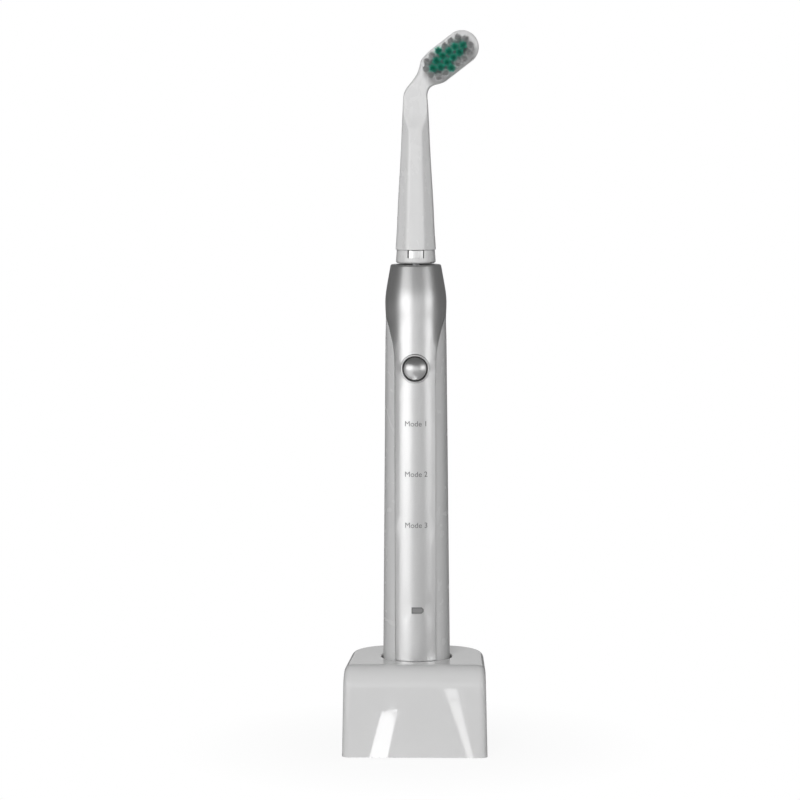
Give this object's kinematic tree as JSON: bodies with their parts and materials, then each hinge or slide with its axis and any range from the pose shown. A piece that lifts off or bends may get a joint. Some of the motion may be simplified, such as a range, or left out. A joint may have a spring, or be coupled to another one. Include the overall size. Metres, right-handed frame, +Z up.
{
  "type": "electric toothbrush on charger",
  "caption": "Slim electric toothbrush with a hooked oval brush head and a silver front trim, standing in the well of a glossy white charger base.",
  "frame": {"origin": "on the table, at the handle's axis and the centre of the charger's footprint", "axes": "+Z up along the handle, -Y to the front, where the button and the bristles face, +X to the side the head bends to"},
  "size_m": [0.0526, 0.0508, 0.2617],
  "materials": {
    "base_white": "high gloss white moulding",
    "handle_white": "white moulding, semi-gloss",
    "brush_white": "white moulding, soft gloss",
    "silver_trim": "satin silver",
    "polished_silver": "polished silver",
    "bright_catch": "bright",
    "smoke_window": "smoked, gloss",
    "green_nylon": "fine filaments",
    "clear_nylon": "fine translucent filaments",
    "grey_rubber": "matt",
    "inner_plastic": "plain moulding",
    "copper": "enamelled winding wire",
    "ferrite": "matt sintered",
    "circuit_board": "solder mask",
    "can_aluminium": "drawn can",
    "chip_black": "moulded package",
    "lamp_white": "translucent",
    "cell_wrap": "shrink sleeve on a steel can",
    "nickel": "nickel plate",
    "bearing_brass": "sintered",
    "steel": "fine turned"
  },
  "bodies": {
    "charger_base": {"base_housing": "base_white", "base_bottom_plate": "inner_plastic", "base_feet": "grey_rubber", "base_screws": "steel", "cord_gland": "base_white", "coil_bobbin": "inner_plastic", "primary_coil": "copper", "ferrite_core": "ferrite", "charger_board": "circuit_board", "board_capacitors": "can_aluminium", "oscillator_chip": "chip_black", "cord_terminal": "inner_plastic"},
    "handle": {"handle_shell": "handle_white", "front_cowl": "silver_trim", "bottom_cap": "handle_white", "cap_seal": "grey_rubber", "secondary_bobbin": "inner_plastic", "secondary_coil": "copper", "inner_frame": "inner_plastic", "battery_cell": "cell_wrap", "battery_tabs": "nickel", "control_board": "circuit_board", "control_chip": "chip_black", "mode_lights": "lamp_white", "light_guides": "lamp_white", "gauge_window": "smoke_window", "button_bezel": "polished_silver", "button_seal": "grey_rubber", "tact_switch": "chip_black", "motor_case": "steel", "motor_end_cap": "inner_plastic", "upper_bearing": "bearing_brass", "lower_bearing": "bearing_brass", "pole_shoes": "steel", "stator_coils": "copper", "motor_dampers": "grey_rubber", "centring_bar": "steel", "shaft_seal": "grey_rubber"},
    "power_button": {"button_cap": "polished_silver", "switch_plunger": "inner_plastic"},
    "drive_rotor": {"drive_shaft": "steel", "rotor_hub": "inner_plastic", "rotor_magnets": "nickel"},
    "brush_head": {"brush_neck": "brush_white", "coupling_ring": "brush_white", "ring_catch": "bright_catch", "shaft_socket": "inner_plastic", "socket_clip": "steel", "green_tufts": "green_nylon", "white_tufts": "clear_nylon", "tuft_anchors": "bearing_brass"}
  },
  "joints": [
    {"name": "handle_lift", "type": "slide", "parent": "charger_base", "child": "handle", "axis": [0, 0, 1], "range_m": [0, 0.03]},
    {"name": "button_press", "type": "slide", "parent": "handle", "child": "power_button", "axis": [0, 1, 0], "range_m": [0, 0.0005], "stiffness_N_per_m": 3000},
    {"name": "shaft_swing", "type": "hinge", "parent": "handle", "child": "drive_rotor", "pos_m": [0, 0, 0.157], "axis": [0, 0, 1], "range_deg": [-5, 5], "stiffness_Nm_per_rad": 0.05},
    {"name": "brush_pull", "type": "slide", "parent": "drive_rotor", "child": "brush_head", "axis": [0, 0, 1], "range_m": [0, 0.02]}
  ]
}
